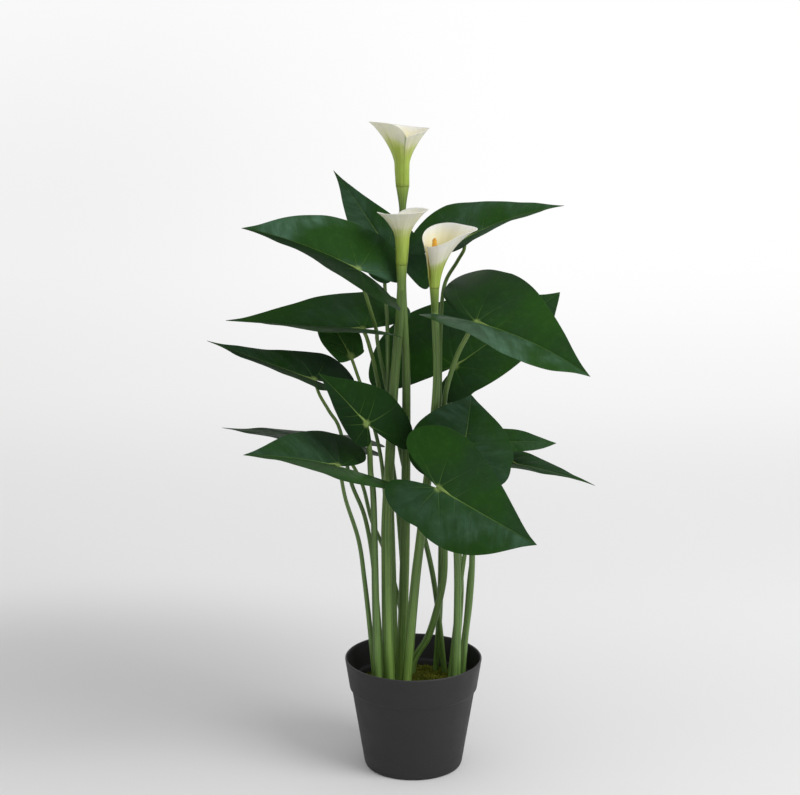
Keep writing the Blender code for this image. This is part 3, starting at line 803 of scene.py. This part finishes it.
def bladeMaterial():
    # lateral, gap: the field of side veins and their spacing; rib, reach: millimetres to midrib and joint
    material, shader = newMaterial("leafGreen", 0.45, 0.05)
    shader.inputs["Specular Tint"].default_value = (*green["gloss"], 1)
    place = objectPlace()
    lateral, gap, rib, along, rim, upper, tone, paintedSheen, reach = (attribute(key) for key in (
        "lateral", "gap", "rib", "along", "rim", "upper", "tone", "paintedSheen", "reach"))

    def veinLine(count, width, soft):
        phase = times(lateral, count)
        off = calc("ABSOLUTE", minus(phase, calc("ROUND", phase)))
        return remap(times(off, calc("DIVIDE", gap, count)), soft, width)

    side = veinLine(1.0, 0.10, 0.60)
    thin = veinLine(6.0, 0.05, 0.5)
    ribWidth = remap(along, 1.0, 0.0, 0.15, 0.62)
    midrib = remap(rib, times(ribWidth, 1.7), times(ribWidth, 0.5))
    near = remap(reach, 36.0, 3.0)
    middle = remap(reach, 95.0, 10.0)
    cloud = noiseOf(place, 13, 3)
    mottle = noiseOf(place, 160, 4)
    speck = noiseOf(place, 900, 3)
    bands = noiseOf(vectorOf(times(lateral, 1.7), times(rib, 0.035), times(tone, 31.0)), 1.0, 3)

    colour = blend(remap(cloud, 0.36, 0.64), green["dark"], green["light"])
    # tone darkens or brightens each half: mostly painted shade on halves that lie in shade and painted light
    # on lit ones, partly the leaf's own green
    colour = blend(tone, tinted(colour, green["deep"]), tinted(colour, green["bright"]))
    # a pale painted sheen in patches along the veins, stronger towards the tip, as strong as paintedSheen
    # allows
    patch = plus(0.45, remap(bands, 0.36, 0.66, 0.0, 0.55))
    sheen = times(patch, remap(cloud, 0.62, 0.40))
    sheen = times(sheen, remap(along, -0.4, 0.45, 0.45, 1.0))
    colour = blend(times(sheen, paintedSheen), colour, green["paintedSheen"])
    colour = blend(remap(mottle, 0.45, 0.8), colour, tinted(colour, green["paler"]))
    veins = times(side, plus(times(near, 0.34), times(middle, 0.05)))
    ribShare = times(midrib, plus(0.32, times(near, 0.55)), clamp=True)
    colour = layered(
        colour, (times(thin, 0.05), green["thinVein"]), (veins, green["sideVein"]),
        (ribShare, green["midrib"]), (remap(reach, 6.0, 0.5, 0.0, 0.7), green["joint"]),
        (remap(rim, 0.988, 1.0, 0.0, 0.3), green["edge"]))
    under = layered(
        green["underDark"], (mottle, green["underLight"]), (times(side, 0.25), green["underVein"]),
        (times(midrib, 0.7), green["underRib"]))
    rough = plus(remap(mottle, 0.3, 0.75, 0.40, 0.52), remap(upper, 1.0, 0.0, 0.0, 0.16))
    setColour(shader, blend(upper, under, colour), rough)

    # veins sink into the upper side and stand out below
    sink = minus(minus(times(side, -0.22), times(thin, 0.05)), times(midrib, 0.30))
    turned = remap(upper, 0.0, 1.0, -1.0, 1.0, "LINEAR")
    height = plus(times(sink, turned), times(speck, 0.10))
    bumpInto(shader, height, 0.001, 0.8)
    return material


def outlineHalf():
    # the outline as a smooth line, read at equal steps, tip first
    dense = smoothLine([Vector((x, y, 0)) for x, y in halfOutline], 0.01)
    travelled = np.concatenate(([0], np.cumsum([(b - a).length for a, b in zip(dense, dense[1:])])))
    wanted = np.linspace(0, travelled[-1], blade["halfColumns"] + 1)
    return [np.interp(wanted, travelled, [point[axis] for point in dense]) for axis in (0, 1)]


def leafAxes(leaf):
    joint, tip = np.array(leaf["joint"]) * mm, np.array(leaf["tip"]) * mm
    length = np.linalg.norm(tip - joint)
    along = (tip - joint) / length
    up = np.array(leaf["face"], dtype=float)
    up -= along * up.dot(along)
    up /= np.linalg.norm(up)
    return joint, length, along, np.cross(up, along), up


def veinField(x, y):
    # whole numbers of the field are side veins: they leave the midrib forwards, and fan out behind the joint
    sweep, curve, spacing = blade["sweep"], blade["sweepCurve"], blade["lateralStart"]
    lobeSpacing = math.radians(blade["lobeVeins"])
    ahead = (x - sweep * y - curve * y ** 2) / spacing
    radius = np.hypot(x, y)
    reach = radius * 0.85
    for _ in range(4):
        reach = np.sqrt(np.maximum(radius ** 2 - (sweep * reach + curve * reach ** 2) ** 2, 0))
    start = np.arctan2(reach, sweep * reach + curve * reach ** 2 + 1e-9)
    fan = -(np.arctan2(y, x) - start) / lobeSpacing
    field = np.where(ahead >= 0, ahead, np.minimum(fan, 0))
    slope = sweep + 2 * curve * y
    gap = np.where(ahead >= 0, spacing / np.sqrt(1 + slope ** 2), radius * lobeSpacing)
    return field, gap


def bladeSheet(leaf, x, y, side):
    # flat place (x along, y across, both in blade lengths) to its place in the world
    joint, length, forward, left, up = leafAxes(leaf)
    pick = np.where(side > 0, 0, 1)
    width, lobe, full, plump, blunt, rise = (
        np.broadcast_to(leaf[key], 2)[pick] for key in ("width", "lobe", "full", "plump", "blunt", "rise"))
    rise = np.radians(rise)
    behind = x < 0
    inner = np.interp(-x, *blade["slit"])
    y = y - leaf["closed"] * inner * np.clip((blade["widest"] - y) / (blade["widest"] - inner), 0, 1)
    along = np.where(behind, x * lobe, x)
    across = y * side * width * np.where(behind, 1 + plump * x ** 2, 1 + full * x + blunt * x ** 4)
    bow = np.where(behind, 4 * leaf["arch"] * along - leaf["drop"] * along ** 2,
                   4 * leaf["arch"] * along * (1 - along))
    out = across * np.cos(rise)
    lift = np.abs(across) * np.sin(rise) - blade["foldEase"] * across ** 2
    turn = np.radians(leaf["twist"]) * along
    sideways = out * np.cos(turn) - lift * np.sin(turn)
    upwards = lift * np.cos(turn) + out * np.sin(turn)
    flat = np.stack([along * length, across * length], -1)
    place = joint + length * (along[..., None] * forward + sideways[..., None] * left
                              + (bow + upwards)[..., None] * up)
    return place, flat


def makeBlade(name, leaf, material, seed):
    chance = np.random.default_rng(blade["seed"] * 100 + seed)
    xs, ys = outlineHalf()
    x = np.concatenate([xs[::-1], xs[1:]])
    y = np.concatenate([ys[::-1], ys[1:]])
    shares = np.linspace(0, 1, blade["rings"] + 1)[1:] ** blade["ringBias"]
    flatX, flatY = shares[:, None] * x[None], shares[:, None] * y[None]
    sides = np.broadcast_to(np.repeat([1.0, -1.0], [len(xs), len(xs) - 1]), flatX.shape)
    rim = np.broadcast_to(shares[:, None], flatX.shape)
    place, flat = bladeSheet(leaf, flatX, flatY, sides)
    joint, length, _, _, up = leafAxes(leaf)
    normal = facing(sheetNormals(place), up)

    # relief: pillows between the side veins, ripples along the edge
    field, gap = veinField(flatX, flatY)
    gapMm = gap * length / mm
    ribMm = np.abs(flat[..., 1]) / mm
    reachMm = np.hypot(flat[..., 0], flat[..., 1]) / mm
    pillow = np.abs(np.sin(np.pi * field)) ** blade["quiltShape"] * (1 - rim ** 6)
    pillow *= np.clip(ribMm / blade["quiltFromRib"], 0, 1) * np.clip(gapMm / blade["quiltFullGap"], 0, 1)
    path = np.linspace(0, 1, flatX.shape[1])[None]
    phase = chance.uniform(0, math.tau, len(blade["ripples"]))
    ripple = sum(size * np.sin(path * math.tau * count + start)
                 for (count, size), start in zip(blade["ripples"], phase))
    calm = np.clip(path * (1 - path) * blade["calmSlit"], 0, 1)
    calm = calm * np.clip(np.abs(path - 0.5) * blade["calmTip"], 0, 1)
    ripple = ripple * rim ** 3 * calm * blade["wave"] * length / blade["waveLength"]
    place = place + normal * (pillow * blade["quilt"] + ripple)[..., None]
    normal = facing(sheetNormals(place), up)

    # two skins, with the midrib sunk into the upper one and standing out of the lower one
    half = (blade["thick"] * (1 - rim ** 2) + blade["edgeThick"] * rim ** 2) / 2
    ridge = np.exp(-(ribMm * mm / blade["ribWidth"]) ** 2) * (flatX > -0.02)
    ridge *= 1 - blade["ribFade"] * np.clip(flatX, 0, 1)
    top = place + normal * (half - ridge * blade["ribDepth"])[..., None]
    low = place - normal * (half + ridge * blade["ribHeight"])[..., None]
    rings, columns = flatX.shape
    centreUp = normal[0].mean(0)
    centreUp *= blade["thick"] / 2 / np.linalg.norm(centreUp)
    front = np.concatenate([joint[None] + centreUp, top.reshape(-1, 3)])
    back = np.concatenate([joint[None] - centreUp, low.reshape(-1, 3)])
    faces, border = gridFaces(rings, columns, 1)
    faces += [(0, 1 + column, 2 + column) for column in range(columns - 1)]
    border = border[columns - 1:] + [1, 0]
    mesh = sheetSolid(name, front, back, faces, border, creased=True)

    # each value for both skins, with the joint first
    tone, paintedSheen = (np.broadcast_to(leaf[key], 2) for key in ("tone", "paintedSheen"))
    for key, values, atJoint in (
            ("lateral", field, 0), ("gap", gapMm, 0.01), ("rib", ribMm, 0), ("along", flatX, 0),
            ("rim", rim, 0), ("reach", reachMm, 0), ("tone", np.where(sides > 0, *tone), tone[0]),
            ("paintedSheen", np.where(sides > 0, *paintedSheen), paintedSheen[0])):
        store(mesh, key, np.tile(np.append(atJoint, values), 2))
    store(mesh, "upper", np.repeat([1, 0], len(front)))
    keep(addObject("leaf_" + name, mesh, material), "blade", "blade_" + name)


def makeLeaves():
    material = bladeMaterial()
    stalkGreen = stalkMaterial("petioleGreen", *petioleGreens)
    tree = stalkTree()
    chance = np.random.default_rng(blade["seed"])
    for number, (name, leaf) in enumerate(leaves.items()):
        leaf = {**usualLeaf, **leaf}
        tone = float(chance.uniform(*stalk["tones"]))
        makeBlade(name, leaf, material, number)
        joint, length, _, _, up = leafAxes(leaf)
        # the stalk ends just under the blade: at the joint, then a little way up the midrib
        onward = bladeSheet(leaf, np.array([stalk["tip"] / length]), np.zeros(1), np.ones(1))[0][0]
        points = stalkLine(leaf["stalk"])
        below = up * stalk["sink"] * leaf["thick"][1] * mm
        points += [Vector(joint - below), Vector(onward - up * stalk["tipSink"])]
        piece = makeStalk("stalk_" + name, points, leaf["thick"], stalk["tip"], stalkGreen, tree, tone,
                          stalk["ripeAndLit"], stalk["ripeAndLitFrom"])
        keep(piece, "petiole", "petiole_" + name)
        print("leaf", name)


makeLeaves()
print("leaves made")

# In millimetres and degrees. scape: route from foot to the funnel's base; thick: its radii; base and taper:
# the funnel's foot; flare: how far its bell stands out; bell: share of the height where that starts, and how
# it curves; tall and reach: a direction, and how much taller or wider the rim is there; seam: where the
# edges lap; notch: how far the rim dips there, and over how wide an arc on either side; spadix: its length.
flowers = {
    "top": dict(
        scape=((-14, 12), (-11, 10, 184), (-9, 9, 270), (-8, 9, 425), (-10, 9, 485), (-12, 14, 532),
               (-12, 18, 590), (-12, 18, 636)),
        thick=(6, 3.6), base=6.7, taper=0.03, lean=0, height=65, flare=21.8,
        bell=(0.36, 1.55), tall=(220, 4), reach=(0, 0.05), beak=(180, 2, 20),
        seam=-92, notch=(14, 90, 45), green=0.74, spadix=46),
    "left": dict(
        scape=((-25, -20), (-28, -20, 149), (-29, -19, 239), (-29, -16, 283), (-25, -11, 359),
               (-21, -7, 429), (-16, -1, 487), (-13, -12, 537), (-13, -14, 558)),
        thick=(6.4, 4.6), base=5.6, taper=0.055, lean=0, height=57, flare=18,
        bell=(0.48, 1.8), tall=(0, 1.3), reach=(180, 0.05), beak=(0, 0, 20),
        seam=100, notch=(9, 70, 70), green=0.66, spadix=42),
    "right": dict(
        scape=((-10, -14), (-4, -12, 146), (2, -10, 214), (7, -9, 258), (18, -10, 359), (24, -12, 435),
               (22, -16, 500), (21, -24, 535)),
        thick=(5.8, 3.7), base=4.7, taper=0.08, lean=0.06, height=56, flare=10.4,
        bell=(0.15, 1.7), tall=(61, 10), reach=(0, 0.37), beak=(5, 9, 20),
        seam=190, notch=(3, 60, 25), green=0.56, spadix=52),
}

# overlap: degrees that the edges lap; lap: how far apart they stand there; notchCurves, beakCurve: how
# sharp those are; curl: how far the rim dips over curlShare of its height
funnel = {
    "columns": 132, "rows": 54, "thick": 0.9 * mm, "rimThick": 0.35 * mm, "overlap": 24.0, "lap": 2.4 * mm,
    "notchCurves": (1.5, 3), "beakCurve": 4, "curl": 0.8 * mm, "curlShare": 0.1,
}

# the swelling under a funnel; into: how far it starts inside the stem; start: its share of the stem's
# width there; along: where it stands for the streaks; ripeAndLit: how yellow at its foot, and what the top
# adds, here the neck's own yellow-green band
neck = {
    "length": 22 * mm, "margin": 0.3 * mm, "into": 2 * mm, "start": 0.97, "swell": 1.3, "sides": 32,
    "steps": 16, "sharpOver": 50, "along": (0.97, 0.03), "ripeAndLit": (0.1, 0.6), "stemRipeFrom": 0.93,
}
scapeGreens = ((0.062, 0.122, 0.026), (0.135, 0.230, 0.054), (0.270, 0.400, 0.120))
# the first one's, and the step to the next
scapeTones = (0.2, 0.3)

# outer, inner: colours from foot to rim of a funnel
white = {
    "subsurface": 0.4, "radius": (1.0, 0.95, 0.6), "scale": 0.003,
    "outer": (
        (0.0, (0.22, 0.31, 0.045)), (0.07, (0.34, 0.46, 0.070)), (0.25, (0.36, 0.49, 0.080)),
        (0.50, (0.42, 0.53, 0.110)), (0.62, (0.54, 0.60, 0.26)), (0.70, (0.70, 0.71, 0.54)),
        (1.0, (0.80, 0.79, 0.70))),
    "inner": (
        (0.2, (0.52, 0.46, 0.10)), (0.55, (0.78, 0.69, 0.30)), (0.82, (0.86, 0.80, 0.54)),
        (1.0, (0.88, 0.86, 0.77))),
    "shade": (0.84, 0.84, 0.74), "lapped": (0.13, 0.19, 0.03),
}

# turn: degrees from bead to bead; taper: how much thinner it gets to the top; core, coreLength: the top
# radius and the length of the core, as shares
spadix = {
    "radius": 3.4 * mm, "bead": 0.55 * mm, "beads": 420, "turn": 137.508, "seed": 3, "taper": 0.18,
    "core": 0.66, "coreLength": 0.97, "dark": (0.62, 0.27, 0.025), "light": (0.90, 0.50, 0.07),
}


def spatheMaterial():
    material, shader = newMaterial("spatheWhite", 0.45, 0.35)
    shader.inputs["Subsurface Weight"].default_value = white["subsurface"]
    shader.inputs["Subsurface Radius"].default_value = white["radius"]
    shader.inputs["Subsurface Scale"].default_value = white["scale"]
    climb, inner, around = (attribute(key) for key in ("climb", "inner", "turn"))
    streak = noiseOf(vectorOf(times(around, 30.0), times(climb, 1.5)), 1.0, 4)
    cloud = noiseOf(objectPlace(), 60, 3)
    drift = plus(times(minus(streak, 0.5), 0.16), times(minus(cloud, 0.5), 0.10))
    level = plus(calc("DIVIDE", times(climb, 0.65), attribute("green")), drift)
    inside = ramp(plus(climb, times(drift, 0.5)), white["inner"])
    colour = blend(inner, ramp(level, white["outer"]), inside)
    outside = minus(1.0, inner)
    streaked = times(remap(level, 0.78, 0.5, 0.25, 1.0), outside)
    darker = times(remap(streak, 0.62, 0.40), plus(streaked, 0.15))
    colour = blend(darker, colour, tinted(colour, white["shade"]))
    # a painted shadow, dark green, along the lapped edge
    lapped = times(remap(around, 1.045, 1.066), outside)
    colour = blend(times(lapped, 0.8), colour, white["lapped"])
    setColour(shader, colour, remap(cloud, 0.3, 0.7, 0.40, 0.52))
    bumpInto(shader, streak, 0.0006, 0.5)
    return material


def spadixMaterial():
    material, shader = newMaterial("spadixYellow", 0.85, 0.2)
    place = objectPlace()
    setColour(shader, blend(noiseOf(place, 260, 3), spadix["dark"], spadix["light"]))
    bumpInto(shader, noiseOf(place, 2500, 2), 0.0003)
    return material


def rimHeight(flower, angle):
    overlap = math.radians(funnel["overlap"])
    world = math.radians(flower["seam"]) + angle - overlap / 2
    depth, firstWidth, lastWidth = flower["notch"]
    first = np.maximum(0, 1 - np.abs(angle - overlap) / math.radians(firstWidth))
    last = np.maximum(0, 1 - (math.tau + overlap - angle) / math.radians(lastWidth))
    firstCurve, lastCurve = funnel["notchCurves"]
    dip = depth * (first ** firstCurve + last ** lastCurve)
    tallSide, tallBy = flower["tall"]
    lift = tallBy * np.cos(world - math.radians(tallSide))
    return (flower["height"] + lift - dip) * mm


def makeSpathe(name, flower, base, material):
    # one sheet rolled up, from the seam a little more than once around
    overlap = math.radians(funnel["overlap"])
    angle = np.linspace(0, math.tau + overlap, funnel["columns"] + 1)[:, None]
    share = np.linspace(0, 1, funnel["rows"] + 1)[None]
    world = math.radians(flower["seam"]) + angle - overlap / 2
    height = rimHeight(flower, angle) * share
    start, curve = flower["bell"]
    climb = np.maximum(0, height / (flower["height"] * mm) - start) / (1 - start)
    reachSide, reachBy = flower["reach"]
    reach = 1 + reachBy * np.cos(world - math.radians(reachSide))
    flare = flower["flare"] * mm * climb ** curve * reach
    beakSide, beakLength, beakWidth = flower["beak"]
    off = np.remainder(world - math.radians(beakSide) + math.pi, math.tau) - math.pi
    beak = beakLength * mm * climb ** funnel["beakCurve"] * np.exp(-(off / math.radians(beakWidth)) ** 2)
    lap = funnel["lap"] * (angle / math.tau - 0.5) * np.minimum(1, share * 4)
    radius = flower["base"] * mm + flower["taper"] * height + flare + beak + lap
    sideways = radius * np.cos(world) + flower["lean"] * height
    grid = np.stack([sideways, radius * np.sin(world), height + 0 * world], -1)
    curl = np.maximum(0, share - (1 - funnel["curlShare"])) / funnel["curlShare"]
    grid[..., 2] -= curl ** 2 * funnel["curl"]
    grid = grid + np.array(base)
    outward = np.stack([np.cos(world), np.sin(world), 0 * world], -1)
    normal = facing(sheetNormals(grid), outward)
    thick = funnel["thick"] * (1 - share ** 3) + funnel["rimThick"] * share ** 3
    half = (thick / 2 + 0 * angle)[..., None]
    outside, inside = ((grid + side * normal * half).reshape(-1, 3) for side in (1, -1))
    mesh = sheetSolid(name, outside, inside, *gridFaces(*grid.shape[:2]))
    for key, values in (("climb", share), ("turn", angle / math.tau), ("green", flower["green"])):
        store(mesh, key, np.tile(np.broadcast_to(values, grid.shape[:2]).reshape(-1), 2))
    store(mesh, "inner", np.repeat([0, 1], len(outside)))
    keep(addObject("funnel_" + name, mesh, material), "spathe", "spathe_" + name)


def spadixTree():
    # small beads in a spiral over a tapering core
    given = newTree("spadix", {
        "Length": ("Float", 45 * mm), "Radius": ("Float", spadix["radius"]),
        "Bead radius": ("Float", spadix["bead"]), "Beads": ("Int", spadix["beads"]),
        "Turn": ("Float", math.radians(spadix["turn"])), "Taper": ("Float", spadix["taper"]),
        "Core": ("Float", spadix["core"]), "Core length": ("Float", spadix["coreLength"]),
        "Seed": ("Int", spadix["seed"]), "Material": ("Material", None)})
    spots = node("GeometryNodePoints", {"Count": given["Beads"]})
    index = node("GeometryNodeInputIndex")
    share = calc("DIVIDE", index, given["Beads"])
    rounded = calc("SQRT", minus(1.02, calc("POWER", share, 6.0)))
    taper = minus(1.0, times(share, given["Taper"]))
    width = times(times(given["Radius"], rounded), taper)
    angle = times(index, given["Turn"])
    spot = vectorOf(times(width, calc("COSINE", angle)),
                    times(width, calc("SINE", angle)), times(share, given["Length"]))
    foot = {"Geometry": given["Geometry"], "Value": node("GeometryNodeInputPosition"), "Index": 0}
    base = node("GeometryNodeSampleIndex", foot, data_type="FLOAT_VECTOR", domain="POINT")
    placed = node("GeometryNodeSetPosition", {"Geometry": spots, "Position": addVectors(spot, base)})
    bead = node("GeometryNodeMeshIcoSphere", {"Radius": given["Bead radius"], "Subdivisions": 2})
    size = randomSize(0.75, 1.15, given["Seed"])
    beads = node("GeometryNodeInstanceOnPoints", {"Points": placed, "Instance": bead, "Scale": size})
    core = node("GeometryNodeMeshCone", {
        "Vertices": 24, "Side Segments": 6, "Radius Top": times(given["Radius"], given["Core"]),
        "Radius Bottom": given["Radius"], "Depth": times(given["Length"], given["Core length"])})
    seated = node("GeometryNodeTransform", {"Geometry": core, "Translation": base})
    return endTree(joinParts(beads, seated), given["Material"])


def makeNeck(name, start, top, thin, wide, tone, material):
    # a round swelling from the stem's end to the funnel
    circle = [(math.cos(math.tau * corner / neck["sides"]), math.sin(math.tau * corner / neck["sides"]))
              for corner in range(neck["sides"])]
    bm = bmesh.new()
    rings = []
    for step in range(neck["steps"] + 1):
        share = step / neck["steps"]
        centre = start.lerp(top, share)
        radius = thin + (wide - thin) * share ** neck["swell"]
        rings.append([bm.verts.new(centre + Vector((radius * x, radius * y, 0))) for x, y in circle])
    for low, high in zip(rings, rings[1:]):
        for corner in range(neck["sides"]):
            after = (corner + 1) % neck["sides"]
            bm.faces.new((low[corner], low[after], high[after], high[corner]))
    bm.faces.new(rings[0][::-1])
    bm.faces.new(rings[-1])
    mesh = meshFrom("neck_" + name, bm)
    shadeSmooth(mesh, neck["sharpOver"])
    shares = np.repeat(np.linspace(0, 1, len(rings)), neck["sides"])
    places = np.tile([(x, y, 0) for x, y in circle], (len(rings), 1))
    store(mesh, "around", places, "FLOAT_VECTOR", "vector")
    store(mesh, "along", neck["along"][0] + neck["along"][1] * shares)
    store(mesh, "tone", np.full(len(shares), tone))
    store(mesh, "ripeAndLit", neck["ripeAndLit"][0] + neck["ripeAndLit"][1] * shares ** 2)
    keep(addObject("neck_" + name, mesh, material), "scape")


def makeScape(name, flower, material, tree, tone):
    # the stem up to its neck, then the neck
    points = smoothLine(stalkLine(flower["scape"]), stalk["spacing"])
    top = points[-1]
    lower = [point for point in points if point.z < top.z - neck["length"]]
    piece = makeStalk("stem_" + name, lower, flower["thick"], 0, material, tree, tone,
                      neck["ripeAndLit"][0], neck["stemRipeFrom"])
    keep(piece, "scape", "scape_" + name)
    start = lower[-1] - Vector((0, 0, neck["into"]))
    thin = flower["thick"][1] * mm * neck["start"]
    makeNeck(name, start, top, thin, flower["base"] * mm + neck["margin"], tone, material)
    return top


def makeFlowers():
    petal = spatheMaterial()
    yellow = spadixMaterial()
    scapeGreen = stalkMaterial("scapeGreen", *scapeGreens)
    tree = stalkTree()
    beads = spadixTree()
    for number, (name, flower) in enumerate(flowers.items()):
        top = makeScape(name, flower, scapeGreen, tree, scapeTones[0] + scapeTones[1] * number)
        makeSpathe(name, flower, top, petal)
        rod = grow("spadixBeads_" + name, plainMesh("start", [top]), beads, {
            "Length": flower["spadix"] * mm, "Material": yellow})
        rod.data.shade_smooth()
        keep(rod, "spadix", "spadix_" + name)
        print("flower", name)


makeFlowers()
print("flowers made")
